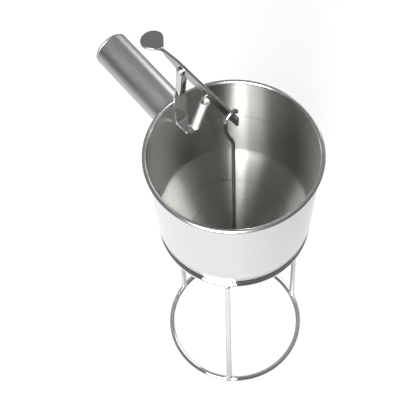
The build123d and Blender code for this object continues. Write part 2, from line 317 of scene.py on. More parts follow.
def steelFinish(name, look):
    # steel with fine brush lines: roughness, tint and bump follow them, and clouds stain it a little
    material = emptyMaterial(name)
    add = nodeAdder(material)
    spot = add("ShaderNodeTexCoord").outputs["Object"]
    pattern = (roundPattern if look["lines"] == "round" else straightPattern)(add, spot, look)
    lines = noise(add, pattern, 1.0, brush["detail"], brush["roughness"])
    broad = noise(add, pattern, brush["broadScale"], brush["broadDetail"])
    clouds = noise(add, spot, look["cloud"], brush["cloudDetail"])
    both = {"Factor": brush["broadShare"], 2: lines, 3: broad}
    mixed = add("ShaderNodeMix", both, data_type="FLOAT").outputs[0]
    rough = mapped(add, mixed, brush["lineRange"], look["rough"])
    tint = blended(add, mixed, look["dark"], look["light"])
    stain = mapped(add, clouds, brush["cloudRange"], (1.0, look["stain"]))
    bump = add("ShaderNodeBump", {"Height": lines, "Strength": look["bump"], "Distance": brush["depth"]})
    surface = {"Base Color": scaled(add, tint, stain), "Metallic": 1.0, "Roughness": rough,
               "Normal": bump.outputs[0], "Anisotropic": look["grain"]}
    if look["grain"]:
        surface["Tangent"] = add("ShaderNodeCombineXYZ", dict(zip("XYZ", look["across"]))).outputs[0]
    shader = add("ShaderNodeBsdfPrincipled", surface)
    add("ShaderNodeOutputMaterial", {"Surface": shader.outputs[0]})
    return material


def siliconeFinish(name, look):
    # matt pale rubber with a faint mottle
    material = emptyMaterial(name)
    add = nodeAdder(material)
    spot = add("ShaderNodeTexCoord").outputs["Object"]
    mottle = noise(add, spot, look["mottle"], look["detail"])
    colour = blended(add, mottle, look["dark"], look["light"])
    rough = mapped(add, mottle, (0.0, 1.0), look["rough"])
    bump = add("ShaderNodeBump", {"Height": mottle, "Strength": look["bump"], "Distance": look["depth"]})
    surface = {"Base Color": colour, "Roughness": rough, "Normal": bump.outputs[0]}
    shader = add("ShaderNodeBsdfPrincipled", surface)
    add("ShaderNodeOutputMaterial", {"Surface": shader.outputs[0]})
    return material


# funnel: tapered barrel with a rolled rim, and the cone under it

barrel = dict(rimZ=315.0, rimRadius=70.0, bead=1.85, sheet=1.0, height=88.0, shoulderRadius=64.5, bend=12.0,
              coneHalf=28.0, tipRadius=11.0, seam=0.35, beadDrop=0.15,
              turns=320, rows=40, beadSteps=28, bendSteps=14)
bowlLook = dict(lines="round", stretch=0.4, fine=900.0, cloud=18.0, rough=(0.2732, 0.2768),
                dark=(0.36, 0.357, 0.343), light=(0.65, 0.644, 0.619), stain=0.93, bump=0.01,
                grain=1.0, across=(0, 0, 1))
mirrorLook = dict(lines="round", stretch=1.0, fine=420.0, cloud=9.0, rough=(0.07, 0.12),
                  dark=grey(0.72), light=grey(0.78), stain=0.97, bump=0.01, grain=0.0)
rimLook = dict(mirrorLook, fine=260.0, rough=(0.17, 0.24), dark=grey(0.54), light=grey(0.62))
brushedBowl = steelFinish("brushedBowl", bowlLook)
mirrorWall = steelFinish("mirrorWall", mirrorLook)
polishedRim = steelFinish("polishedRim", rimLook)

wallIn = barrel["rimRadius"] - 2 * barrel["bead"]
wallOut = wallIn + barrel["sheet"]
beadZ = barrel["rimZ"] - barrel["bead"]
shoulderZ = barrel["rimZ"] - barrel["height"]
taper = (wallOut - barrel["shoulderRadius"]) / (beadZ - shoulderZ)
coneAngle = np.radians(barrel["coneHalf"])
coneSlope = np.tan(coneAngle)
bendMiddle = np.array([barrel["shoulderRadius"] - barrel["bend"], shoulderZ])
coneStart = bendMiddle + barrel["bend"] * np.array([np.cos(coneAngle), -np.sin(coneAngle)])
coneEndZ = coneStart[1] - (coneStart[0] - barrel["tipRadius"]) / coneSlope
coneTopZ = coneEndZ + barrel["sheet"] / np.sin(coneAngle)


def outerWall(z):
    # outside radius at a height: that at the bead, less taper times the depth below it
    return wallOut - taper * (beadZ - np.asarray(z, float))


def innerWall(z):
    # a sheet thickness inside the outer wall
    return outerWall(z) - barrel["sheet"]


def makeBarrel():
    # inner wall up to the bead, round the bead, down the outer wall
    b = barrel
    inner = np.linspace((innerWall(shoulderZ), shoulderZ), (wallIn, beadZ), b["rows"])
    meet = np.degrees(np.arccos((wallOut - wallIn - b["bead"]) / b["bead"]))
    bead = arc((wallIn + b["bead"], beadZ), b["bead"], 180, -meet, b["beadSteps"])
    footZ = shoulderZ + b["seam"]
    outer = np.linspace(bead[-1] - (0.0, b["beadDrop"]), (outerWall(footZ), footZ), b["rows"])
    foot = [(b["shoulderRadius"] - b["seam"], shoulderZ)]
    profile = np.concatenate([inner[:-1], bead, outer, foot])
    points, faces = revolve(profile, b["turns"])
    row = np.repeat(np.arange(len(profile)), b["turns"])
    beadStart = len(inner) - 1
    kind = np.where(row < beadStart, 0, np.where(row < beadStart + len(bead), 2, 1))
    putMesh("funnelBarrel", points, faces, "funnel", ["upper_shell"],
            [brushedBowl, mirrorWall, polishedRim], kind)


def makeCone():
    # outside: rounded shoulder, then the slope down to the tip; inside: the same a sheet thickness away
    b = barrel
    lip = np.degrees(b["seam"] / b["bend"])
    shoulder = arc(bendMiddle, b["bend"], -lip, -b["coneHalf"], b["bendSteps"])
    slope = np.linspace(coneStart, (b["tipRadius"], coneEndZ), b["rows"])
    outer = np.concatenate([shoulder, slope[1:]])
    bowl = arc(bendMiddle, b["bend"] - b["sheet"], -b["coneHalf"], 0, b["bendSteps"])
    inner = np.concatenate([np.linspace((b["tipRadius"], coneTopZ), bowl[0], b["rows"])[:-1], bowl])
    profile = np.concatenate([outer, inner, [(b["shoulderRadius"] - b["seam"], shoulderZ)]])
    points, faces = revolve(profile, b["turns"])
    row = np.repeat(np.arange(len(profile)), b["turns"])
    kind = np.where((row >= len(outer)) & (row < len(profile) - 2), 0, 1)
    putMesh("funnelCone", points, faces, "funnel", ["cone_shell"],
            [brushedBowl, mirrorWall], kind)


makeBarrel()
makeCone()
print("funnel made")


# outlet: ferrule, nozzle, seal and stopper, all turned parts

outlet = dict(bore=6.5, seat=10.2, collar=3.5, thread=9.5, threadLength=10.0, gap=0.1, wall=3.0, floor=3.0,
              shoulder=2.0, spout=15.0, tip=5.0, tipBore=3.5, seal=1.5, seatGap=0.3, plugTip=5.2, plug=9.6,
              plugRim=3.0, boss=4.0, bossHeight=9.0)
ferrule = dict(corners=(0.15, 0.15, 0.4, 0, 0.5, 0.3, 0.2), step=0.16, turns=96)
ridge = dict(aboveEnd=1.0, belowCollar=0.8, pitch=1.25, depth=0.35, band=0.05, crease=50)
nozzle = dict(corners=(0.3, 0.8, 0.5, 0.8, 0.5, 0.3, 0.3, 0.2), step=0.7, turns=240)
grip = dict(count=12, depth=1.1, sharp=3, fade=1.5, band=1.0)
seal = dict(corner=0.3, turns=96)
plug = dict(corners=(0, 0.4, 0.4, 0.7, 0.8, 0.6, 0), step=0.6, turns=128)
turnedLook = dict(lines="round", stretch=1.2, fine=1800.0, cloud=50.0, rough=(0.16, 0.28),
                  dark=(0.58, 0.58, 0.57), light=(0.70, 0.70, 0.69), stain=0.94, bump=0.05, grain=0.0)
sealLook = dict(mottle=900.0, detail=4.0, dark=(0.68, 0.67, 0.64), light=(0.78, 0.77, 0.75),
                rough=(0.5, 0.7), bump=0.1, depth=0.0002)
turnedSteel = steelFinish("turnedSteel", turnedLook)
sealSilicone = siliconeFinish("sealSilicone", sealLook)

collarZ = coneEndZ - outlet["collar"]
threadEndZ = collarZ - outlet["threadLength"]
sealZ = threadEndZ - outlet["seal"]
seatZ = coneTopZ - (outlet["seat"] - outlet["bore"])
plugZ = seatZ - (outlet["bore"] - outlet["plugTip"]) + outlet["seatGap"] * np.sqrt(2)
plugRimZ = plugZ + outlet["plug"] - outlet["plugTip"]
shelfZ = plugRimZ + outlet["plugRim"]
plugTop = shelfZ + outlet["bossHeight"]


def makeFerrule():
    # ring with the valve seat inside, and a collar and the thread outside
    o = outlet
    tip = barrel["tipRadius"]
    body = rounded([(o["seat"], coneTopZ), (tip, coneTopZ), (tip, collarZ), (o["thread"], collarZ),
                    (o["thread"], threadEndZ), (o["bore"], threadEndZ), (o["bore"], seatZ)],
                   ferrule["corners"])

    def threaded(r, z, t):
        # shallow helical ridge on the thread's outer face
        onFace = np.abs(r - o["thread"]) < ridge["band"]
        inBand = onFace & (z > threadEndZ + ridge["aboveEnd"]) & (z < collarZ - ridge["belowCollar"])
        return r - inBand * ridge["depth"] * (0.5 - 0.5 * np.cos(2 * np.pi * z / ridge["pitch"] - t))

    points, faces = revolve(dense(body, ferrule["step"]), ferrule["turns"], wobble=threaded)
    putMesh("outletFerrule", points, faces, "funnel", ["outlet_ferrule"], [turnedSteel],
            crease=ridge["crease"])


def makeNozzle():
    # cap over the thread, with a floor and a tapering spout
    o = outlet
    capIn = o["thread"] + o["gap"]
    capOut = capIn + o["wall"]
    capZ = collarZ - o["seatGap"]
    skirtZ = sealZ - o["floor"]
    spoutZ = skirtZ - o["shoulder"]
    tipZ = spoutZ - o["spout"]
    body = rounded([(capIn, capZ), (capOut, capZ), (capOut, skirtZ), (capOut - o["shoulder"], spoutZ),
                    (o["tip"], tipZ), (o["tipBore"], tipZ), (o["bore"], sealZ), (capIn, sealZ)],
                   nozzle["corners"])

    def grooved(r, z, t):
        # round grip flutes on the cap's outer face, fading out at its two edges
        fade = np.clip((z - skirtZ) / grip["fade"], 0, 1) * np.clip((capZ - z) / grip["fade"], 0, 1)
        flute = np.maximum(0, np.cos(grip["count"] * t)) ** grip["sharp"]
        return r - grip["depth"] * flute * fade * (r > capOut - grip["band"])

    points, faces = revolve(dense(body, nozzle["step"]), nozzle["turns"], wobble=grooved)
    putMesh("outletNozzle", points, faces, "nozzle", ["nozzle"], [turnedSteel])


def makeSeal():
    # flat washer between ferrule and nozzle
    inside, outside = outlet["bore"], outlet["thread"] - outlet["gap"]
    corners = [(inside, threadEndZ), (outside, threadEndZ), (outside, sealZ), (inside, sealZ)]
    points, faces = revolve(rounded(corners, [seal["corner"]] * 4), seal["turns"])
    putMesh("nozzleSeal", points, faces, "nozzle", ["nozzle_seal"], [sealSilicone])


def makeStopper():
    # cone over the valve seat, a rim, and a boss for the rod
    o = outlet
    body = rounded([(0.0, plugZ), (o["plugTip"], plugZ), (o["plug"], plugRimZ), (o["plug"], shelfZ),
                    (o["boss"], shelfZ), (o["boss"], plugTop), (0.0, plugTop)],
                   plug["corners"])
    points, faces = revolve(dense(body, plug["step"], closed=False), plug["turns"], closed=False)
    putMesh("stopperPlug", points, faces, "valve", ["stopper"], [turnedSteel])


makeFerrule()
makeNozzle()
makeSeal()
makeStopper()
print("outlet made")


# handle: tube welded to the barrel, closed by a cap

handle = dict(radius=15.5, wall=1.2, length=94.0, belowRim=31.0, rise=4.4, cap=2.0, capEdge=1.0, capFlat=2.0,
              seam=0.3, turns=192, rows=60, innerSkip=4, edgeSteps=10, capRings=12)
weld = dict(radius=0.8, lift=0.1, ripple=0.1, waves=(37, 5), sides=12)
satinLook = dict(lines="along", turn=(0, np.radians(handle["rise"]), 0), stretch=14.0, fine=1100.0,
                 cloud=24.0, rough=(0.29, 0.36), dark=grey(0.46), light=grey(0.56),
                 stain=0.92, bump=0.04, grain=0.0)
capLook = dict(satinLook, rough=(0.42, 0.52), dark=grey(0.38), light=grey(0.46))
satinTube = steelFinish("satinTube", satinLook)
satinCap = steelFinish("satinCap", capLook)
handleTurn = np.linspace(0, 2 * np.pi, handle["turns"], endpoint=False)
capStart = handle["length"] - handle["cap"]


def handlePoints(angle, along, radius):
    # point at an angle round the tube, a length along it and a distance from its axis
    rise = np.radians(handle["rise"])
    rootZ = barrel["rimZ"] - handle["belowRim"]
    root = np.array([-outerWall(rootZ), 0.0, rootZ])
    way = np.array([-np.cos(rise), 0, np.sin(rise)])
    up = np.array([np.sin(rise), 0, np.cos(rise)])
    side = np.array([0.0, 1.0, 0.0])
    angle, along, radius = np.broadcast_arrays(angle, along, radius)
    ring = np.cos(angle)[..., None] * side + np.sin(angle)[..., None] * up
    return root + along[..., None] * way + radius[..., None] * ring


def meetWall(radius):
    # length along the tube at which each line on it reaches the barrel, by halving the interval
    reach, halvings = 8.0, 40
    near, far = np.full(handle["turns"], -handle["radius"]), np.full(handle["turns"], reach)
    for _ in range(halvings):
        mid = (near + far) / 2
        p = handlePoints(handleTurn, mid, radius)
        inside = np.hypot(p[:, 0], p[:, 1]) < outerWall(p[:, 2])
        near, far = np.where(inside, mid, near), np.where(inside, far, mid)
    return far


def makeHandleTube():
    # outer wall, end lip and inner wall as one shell, and a rippled weld bead where it meets the barrel
    h = handle
    inside = h["radius"] - h["wall"]
    outerStart, innerStart = meetWall(h["radius"]), meetWall(inside)
    share = np.linspace(0, 1, h["rows"])[:, None]
    outer = handlePoints(handleTurn, outerStart + (capStart - h["seam"] - outerStart) * share, h["radius"])
    lip = handlePoints(handleTurn, np.full((1, h["turns"]), capStart), h["radius"] - h["seam"])
    inner = handlePoints(handleTurn, capStart + (innerStart - capStart) * share[::h["innerSkip"]], inside)
    points = np.concatenate([outer, lip, inner])
    shell = points.reshape(-1, 3), gridFaces(len(points), h["turns"], closeRows=True)
    ripple = np.sin(weld["waves"][0] * handleTurn) * np.sin(weld["waves"][1] * handleTurn)
    seamLine = handlePoints(handleTurn, outerStart + weld["lift"], h["radius"])
    bead = tube(seamLine, weld["radius"] * (1 + weld["ripple"] * ripple), weld["sides"], closed=True)
    points, faces = joined(shell, bead)
    putMesh("handleTube", points, faces, "funnel", ["handle_tube"], [satinTube])


def makeHandleCap():
    # disc with a rounded front edge: profile of (distance from the axis, length along it)
    h = handle
    back = [(0.0, capStart), (h["radius"] - h["seam"], capStart), (h["radius"], capStart + h["seam"])]
    edge = arc((h["radius"] - h["capEdge"], h["length"] - h["capEdge"]), h["capEdge"], 0, 90, h["edgeSteps"])
    front = [(r, h["length"]) for r in np.linspace(h["radius"] - h["capFlat"], 0, h["capRings"])]
    profile = np.concatenate([back, edge, front])
    points = handlePoints(handleTurn, profile[:, 1:], profile[:, :1])
    putMesh("handleCap", points.reshape(-1, 3), gridFaces(len(profile), h["turns"]), "funnel",
            ["handle_end_cap"], [satinCap])


makeHandleTube()
makeHandleCap()
print("handle made")


# bracket: strap inside the wall with a bent-in tab, and two ears that carry the pivot;
# the lever's settings stand here too, because the ears and the spring follow them

bracket = dict(thick=1.5, width=12.0, below=27.0, taper=2.0, above=16.0, tab=15.0, holeInset=3.5, hole=1.4,
               bend=1.6, earFoot=4.0, earWide=5.0, eye=3.6, earGap=0.3, pivotReach=59.0, pivotAbove=42.5,
               edge=0.25, tabCorner=2.0, shoulderRound=6.0, topCorner=0.4, earRound=3.0,
               pointStep=1.0, strapSpacing=1.4, earSpacing=1.6, curveSteps=8,
               tabSteps=12, bendSteps=10, wallSteps=40, eyeSteps=24)
lever = dict(thick=2.0, depth=10.0, below=2.5, pastAxis=5.6, lug=4.2, twistStart=4.5, twist=17.5, neck=4.0,
             padLength=17.4, padWidth=19.0, padReach=22.2, turnBefore=3.6, turnAfter=6.0, springArm=30.0,
             springUp=3.2, pivotHole=1.65, springHole=1.4, corner=1.2, cornerTurn=80, edge=0.3,
             step=0.5, spacing=1.2, padSteps=16, cornerSteps=6)
stripLook = dict(lines="along", turn=(0, 0, 0), stretch=30.0, fine=1300.0, cloud=40.0, rough=(0.15, 0.24),
                 dark=(0.38, 0.38, 0.375), light=(0.46, 0.46, 0.455), stain=0.94, bump=0.03, grain=0.0)
bracketLook = dict(stripLook, turn=(0, np.radians(90), 0), rough=(0.14, 0.22),
                   dark=(0.58, 0.58, 0.57), light=(0.68, 0.68, 0.67))
polishedStrip = steelFinish("polishedStrip", stripLook)
bracketStrip = steelFinish("bracketStrip", bracketLook)

pivotX, pivotZ = -bracket["pivotReach"], barrel["rimZ"] + bracket["pivotAbove"]
leverLow = pivotZ - lever["below"]
leverMid = leverLow + lever["depth"] / 2
tabZ = barrel["rimZ"] - bracket["below"]
tabMid = tabZ + bracket["thick"] / 2
tabEnd = -(wallIn - bracket["tab"])
tabHole = tabEnd - bracket["holeInset"]
strapTop = barrel["rimZ"] + bracket["above"]
earInside = lever["thick"] / 2 + bracket["earGap"]
earOutside = earInside + bracket["thick"]


def bracketStrap():
    # flat strip bent along a line in the (radius, height) plane: tab, bend, wall, straight up past the rim
    b = bracket
    half = b["thick"] / 2
    bendR = b["bend"] + half
    bendX, bendZ = innerWall(tabZ) - half - bendR, tabMid + bendR
    tabLine = np.linspace((-tabEnd, tabMid), (bendX, tabMid), b["tabSteps"])
    bendLine = arc((bendX, bendZ), bendR, -90, 0, b["bendSteps"])
    z = np.linspace(bendZ, strapTop, b["wallSteps"])
    wallLine = np.stack([np.where(z < beadZ, innerWall(z), wallIn) - half, z], -1)
    line = np.concatenate([tabLine[:-1], bendLine[:-1], wallLine])
    run = np.concatenate([[0], np.cumsum(np.linalg.norm(np.diff(line, axis=0), axis=1))])
    way = np.gradient(line, run, axis=0)
    way /= np.linalg.norm(way, axis=1)[:, None]
    wide, end = b["width"] / 2, run[-1]
    taperRun = end - b["above"] + b["taper"]
    lower = [(0, -wide), (taperRun, -wide), (end, -earOutside)]
    upper = [(end, earOutside), (taperRun, wide), (0, wide)]
    radii = [b["tabCorner"], b["shoulderRound"], b["topCorner"]]
    outline = rounded(lower + upper, radii + radii[::-1], b["curveSteps"])
    hole = circleLine(b["holeInset"], 0, b["hole"])
    points, faces = plate(dense(outline, b["pointStep"]), [hole], b["thick"], b["edge"], b["strapSpacing"])
    u, v, w = points.T
    r0, z0 = np.interp(u, run, line[:, 0]), np.interp(u, run, line[:, 1])
    wr, wz = np.interp(u, run, way[:, 0]), np.interp(u, run, way[:, 1])
    rho, height = r0 + w * wz, z0 - w * wr  # outward side of the strip lies against the wall
    onWall = np.clip((u - (bendX + tabEnd)) / (np.pi / 2 * bendR), 0, 1)
    bow = rho - np.sqrt(np.maximum(rho**2 - v**2, 0))
    return np.stack([-(rho - onWall * bow), v, height], -1), faces


def bracketEar(y):
    # upright plate at a sideways place: foot along the strap, round eye at the pivot
    b = bracket
    footX, footZ = -(wallIn - b["thick"] / 2), barrel["rimZ"] + b["earFoot"]
    eye = arc((pivotX, pivotZ), b["eye"], 0, 180, b["eyeSteps"])
    foot = rounded([(pivotX - b["eye"], pivotZ), (footX, strapTop), (footX, footZ),
                    (footX + b["earWide"], footZ + b["earWide"]), (pivotX + b["eye"], pivotZ)],
                   [0, 0, 0, b["earRound"], 0], b["curveSteps"])
    outline = dense(np.concatenate([eye[1:-1], foot]), b["pointStep"])
    points, faces = plate(outline, [], b["thick"], b["edge"], b["earSpacing"])
    return np.stack([points[:, 0], y + points[:, 2], points[:, 1]], -1), faces


def makeBracket():
    earMiddle = (earInside + earOutside) / 2
    points, faces = joined(bracketStrap(), bracketEar(-earMiddle), bracketEar(earMiddle))
    putMesh("leverBracket", points, faces, "funnel", ["lever_bracket"], [bracketStrip])


def makePivot():
    # rivet: shank between the ears and a domed head on each side
    p = dict(shank=1.6, head=2.9, rise=1.2, rim=0.25, domeSteps=10, turns=48)
    a = np.radians(np.linspace(0, 90, p["domeSteps"]))
    dome = np.stack([p["head"] * np.cos(a), earOutside + p["rim"] + (p["rise"] - p["rim"]) * np.sin(a)], -1)
    half = np.concatenate([[(p["shank"], 0.0), (p["shank"], earOutside), (p["head"], earOutside)], dome])
    profile = np.concatenate([half[::-1] * (1, -1), half[1:]])
    points, faces = revolve(profile, p["turns"], closed=False)
    points = np.stack([points[:, 0] + pivotX, points[:, 2], points[:, 1] + pivotZ], -1)
    putMesh("pivotRivet", points, faces, "funnel", ["pivot_pin"], [turnedSteel])


makeBracket()
makePivot()
print("bracket made")


# lever: flat strip on edge, twisted a quarter turn into a thumb pad

leverStart = pivotX - lever["twistStart"]
neckX = leverStart - lever["twist"]
padMiddle = neckX - lever["padReach"] + lever["padLength"] / 2


def leverHalfDepth(x):
    # half the strip's depth: full, straight down to the neck, easing out to the pad, then the pad's oval end
    full, neck, pad = lever["depth"] / 2, lever["neck"] / 2, lever["padWidth"] / 2
    strip = full + (neck - full) * np.clip((leverStart - x) / lever["twist"], 0, 1)
    flare = neck + (pad - neck) * eased((neckX - x) / (neckX - padMiddle))
    oval = pad * np.sqrt(np.clip(1 - ((x - padMiddle) / (lever["padLength"] / 2)) ** 2, 0, 1))
    return np.where(x > neckX, strip, np.where(x > padMiddle, flare, oval))


def leverOutline():
    # lower edge with the pivot's lug, the rounded free end, and the upper edge back to the pad
    halfPad, half = lever["padLength"] / 2, lever["depth"] / 2
    freeEnd, corner = lever["pastAxis"], lever["corner"]
    a = np.linspace(0, np.pi / 2, lever["padSteps"])[:-1]
    padEnd = padMiddle - halfPad + halfPad * (1 - np.cos(a))
    rest = np.arange(padEnd[-1] + lever["step"], freeEnd - corner, lever["step"])
    xs = np.concatenate([padEnd, rest])
    depth = leverHalfDepth(xs)
    lug = half - lever["below"] + np.sqrt(np.clip(lever["lug"] ** 2 - (xs - pivotX) ** 2, 0, None))
    lug = np.where(np.abs(xs - pivotX) < lever["lug"], lug, 0)
    lowEnd = arc((freeEnd - corner, corner - half), corner, -lever["cornerTurn"], 0, lever["cornerSteps"])
    highEnd = arc((freeEnd - corner, half - corner), corner, 0, lever["cornerTurn"], lever["cornerSteps"])
    lower = np.stack([xs, -np.maximum(depth, lug)], -1)
    upper = np.stack([xs, depth], -1)
    return np.concatenate([lower, lowEnd, highEnd, upper[::-1][:-1]])


def makeLever():
    # point (u, v, w) of the flat strip turns about its middle line, a quarter turn round the pad's neck
    pivotHole = circleLine(pivotX, pivotZ - leverMid, lever["pivotHole"])
    springZ = leverLow + lever["springUp"] - leverMid
    springHole = circleLine(pivotX + lever["springArm"], springZ, lever["springHole"])
    holes = [pivotHole, springHole]
    points, faces = plate(leverOutline(), holes, lever["thick"], lever["edge"], lever["spacing"])
    u, v, w = points.T
    share = (neckX + lever["turnBefore"] - u) / (lever["turnBefore"] + lever["turnAfter"])
    turn = np.pi / 2 * eased(share)
    y = w * np.cos(turn) - v * np.sin(turn)
    z = leverMid + v * np.cos(turn) + w * np.sin(turn)
    putMesh("thumbLever", np.stack([u, y, z], -1), faces, "lever", ["lever"], [polishedStrip])


makeLever()
print("lever made")


# valve rod: straight wire with a sideways step and a hook over the lever

rod = dict(radius=1.5, sideGap=0.6, topGap=0.7, nearBend=8.0, farBend=2.3, tail=0.4, jogAbove=10.0,
           jogLength=26.0, jogEase=1.0, socket=7.0, coarse=6.0, fine=0.7, sides=28,
           nearSteps=22, farSteps=14, tailSteps=4)
wireLook = dict(lines="along", turn=(0, np.radians(90), 0), stretch=60.0, fine=2200.0, cloud=60.0,
                rough=(0.16, 0.26), dark=(0.36, 0.36, 0.355), light=(0.45, 0.45, 0.445),
                stain=0.95, bump=0.02, grain=0.0)
drawnWire = steelFinish("drawnWire", wireLook)


def makeRod():
    # straight up the axis, eased sideways by the step, then a quarter circle up to the crest over the lever
    # and a tighter one down behind it
    farY = lever["thick"] / 2 + rod["sideGap"] + rod["radius"]
    crestY = farY - rod["farBend"]
    legY = crestY - rod["nearBend"]
    crestZ = leverLow + lever["depth"] + rod["topGap"] + rod["radius"]
    legZ = crestZ - rod["nearBend"]
    tailZ = crestZ - rod["farBend"]
    jogZ = barrel["rimZ"] + rod["jogAbove"]
    straightEnd = jogZ - rod["coarse"]
    straight = np.arange(plugTop - rod["socket"] + rod["radius"], straightEnd, rod["coarse"])
    z = np.concatenate([straight, np.arange(straightEnd, legZ, rod["fine"])])
    y = legY * eased((z - jogZ + rod["jogEase"]) / (rod["jogLength"] + 2 * rod["jogEase"]))
    near = arc((crestY, legZ), rod["nearBend"], 180, 90, rod["nearSteps"])
    far = arc((crestY, tailZ), rod["farBend"], 90, 0, rod["farSteps"])[1:]
    tail = np.linspace((farY, tailZ), (farY, tailZ - rod["tail"]), rod["tailSteps"])[1:]
    line = np.concatenate([np.stack([y, z], -1), near, far, tail])
    path = np.concatenate([np.zeros((len(line), 1)), line], 1)
    points, faces = tube(path, rod["radius"], rod["sides"])
    putMesh("valveRod", points, faces, "valve", ["valve_rod"], [drawnWire])


makeRod()


# spring: close coil with a hook at each end, from the tab to the lever

spring = dict(wire=0.55, mean=3.2, turns=30, gap=0.5, hook=2.6, tail=2.0, lowLead=3.2, lowGrow=6.5,
              highLead=7.0, lowTurn=0.25, highTurn=0.75, stiffTop=4.0, smoothing=(1, 2, 3, 2, 1), step=0.5,
              turnSteps=32, leadSteps=90, hookSteps=24, tailSteps=6, capSteps=3, sides=10)
springLook = dict(wireLook, rough=(0.44, 0.54), dark=(0.32, 0.32, 0.315), light=(0.40, 0.40, 0.395))
springWire = steelFinish("springWire", springLook)
hookX = tabHole + spring["hook"]
springFoot = np.array([hookX + spring["hook"], 0, tabMid])
springHead = np.array([pivotX + lever["springArm"], 0, leverLow + lever["springUp"]])
springAxis = (springHead - springFoot) / np.linalg.norm(springHead - springFoot)
springTop = springHead - springAxis * spring["hook"]


def springCoil(side):
    # coil point = axis point + radius (cos a, sin a) across the axis; the radius and the angle a ease into
    # the hooks, by the given shares of a full turn
    s = spring
    fullTurn = 2 * np.pi
    across = np.array([springAxis[2], 0, -springAxis[0]])
    pitch = 2 * s["wire"] + s["gap"]
    body = s["turns"] * pitch
    span = np.linalg.norm(springTop - springFoot)
    start = (span - body) / 2
    end = start + body
    d = np.concatenate([np.linspace(0, start, s["leadSteps"]),
                        np.linspace(start, end, s["turns"] * s["turnSteps"])[1:],
                        np.linspace(end, span, s["leadSteps"])[1:]])
    before = np.clip((start - d) / s["lowLead"], 0, 1)
    past = np.clip((d - start - body) / s["highLead"], 0, 1)
    angle = np.where(d < start, -s["lowTurn"] * fullTurn * before**2, fullTurn * (d - start) / pitch)
    unwound = fullTurn * s["turns"] + s["highTurn"] * fullTurn * (1 - (1 - past) ** 2)
    angle = np.where(d > end, unwound, angle)
    grown = eased((d - start + s["lowGrow"]) / s["lowGrow"])
    radius = s["mean"] * grown + (s["hook"] - s["mean"]) * eased(past)
    round1, round2 = (radius * np.cos(angle))[:, None], (radius * np.sin(angle))[:, None]
    return springFoot + d[:, None] * springAxis + round1 * across + round2 * side


def makeSpring():
    # tail and hook in the tab's hole, coil, hook and tail in the lever's, evenly spaced and smoothed
    s = spring
    side = np.array([0.0, 1.0, 0.0])
    a = np.radians(np.linspace(180, 360, s["hookSteps"]))
    lowHook = np.stack([hookX + s["hook"] * np.cos(a), 0 * a, tabMid + s["hook"] * np.sin(a)], -1)
    lowTail = lowHook[0] + np.linspace(s["tail"], 0, s["tailSteps"])[:-1, None] * (0, 0, 1.0)
    b = np.radians(np.linspace(-90, 90, s["hookSteps"]))
    highHook = springTop + s["hook"] * (np.sin(b)[:, None] * side + np.cos(b)[:, None] * springAxis)
    highTail = highHook[-1] - np.linspace(0, s["tail"], s["tailSteps"])[1:, None] * springAxis
    path = np.concatenate([lowTail, lowHook[:-1], springCoil(side), highHook[1:], highTail])
    run = np.concatenate([[0], np.cumsum(np.linalg.norm(np.diff(path, axis=0), axis=1))])
    even = np.linspace(0, run[-1], int(run[-1] / s["step"]))
    path = np.stack([np.interp(even, run, path[:, i]) for i in range(3)], -1)
    kernel = np.array(s["smoothing"]) / sum(s["smoothing"])
    soft = np.stack([np.convolve(path[:, i], kernel, mode="same") for i in range(3)], -1)
    ends = len(kernel) // 2
    path[ends:-ends] = soft[ends:-ends]
    points, faces = tube(path, s["wire"], s["sides"], capSteps=s["capSteps"])
    piece = putMesh("leverSpring", points, faces, None, ["lever_spring"], [springWire])
    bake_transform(piece)


makeSpring()
print("rod and spring made")


# stand: two wire rings and three upright wires

stand = dict(wire=2.5, inside=3.0, spread=3.5, seatGap=0.3, restFlat=0.2, legs=3, firstLeg=-45.5, butt=1.0,
             buttFromLeg=5.0, buttFlat=0.8, ringSteps=360, topSides=28, baseSides=32)
leg = dict(weld=0.9, weldRun=0.8, thinEnd=0.85, endShare=0.04, endSteps=24, middleSteps=40, sides=28)
chromeLook = dict(lines="round", stretch=14.0, fine=500.0, cloud=30.0, rough=(0.10, 0.14),
                  dark=grey(0.78), light=grey(0.85), stain=0.92, bump=0.015, grain=0.0)
ringLook = dict(chromeLook, rough=(0.03, 0.05))
brightWire = steelFinish("brightWire", chromeLook)
ringWire = steelFinish("ringWire", ringLook)

topRing = barrel["shoulderRadius"] - stand["inside"]
baseRing = topRing + stand["spread"]
baseZ = stand["wire"] - stand["restFlat"]
ringReach = (stand["wire"] + stand["seatGap"]) / np.cos(coneAngle)
topZ = coneStart[1] - (coneStart[0] + ringReach - topRing) / coneSlope


def ringPath(radius, z, a):
    # place on a level circle: (radius cos a, radius sin a, z)
    return np.stack([radius * np.cos(a), radius * np.sin(a), np.full(a.shape, z)], -1)


def makeTopRing():
    # open ring whose two ends are flattened to a narrow butt gap
    s = stand
    gap = np.degrees(s["butt"] / 2 / topRing)
    middle = s["firstLeg"] + s["buttFromLeg"]
    a = np.radians(np.linspace(middle + gap, middle + 360 - gap, s["ringSteps"]))
    points, faces = tube(ringPath(topRing, topZ, a), s["wire"], s["topSides"], capSteps=2)
    spin = np.arctan2(points[:, 1], points[:, 0])
    away = (spin - np.radians(middle) + np.pi) % (2 * np.pi) - np.pi
    limit = np.radians(gap) * s["buttFlat"]
    held = np.where(np.abs(away) < limit, np.sign(away) * limit, away) + np.radians(middle)
    radius = np.hypot(points[:, 0], points[:, 1])
    points = np.stack([radius * np.cos(held), radius * np.sin(held), points[:, 2]], -1)
    putMesh("standTopRing", points, faces, "stand", ["stand_top_ring"], [ringWire])


def makeBaseRing():
    a = np.radians(np.linspace(0, 360, stand["ringSteps"], endpoint=False))
    points, faces = tube(ringPath(baseRing, baseZ, a), stand["wire"], stand["baseSides"], closed=True)
    points[:, 2] = np.maximum(points[:, 2], 0)  # narrow worn flat on the table side
    putMesh("standBaseRing", points, faces, "stand", ["stand_base_ring"], [ringWire])


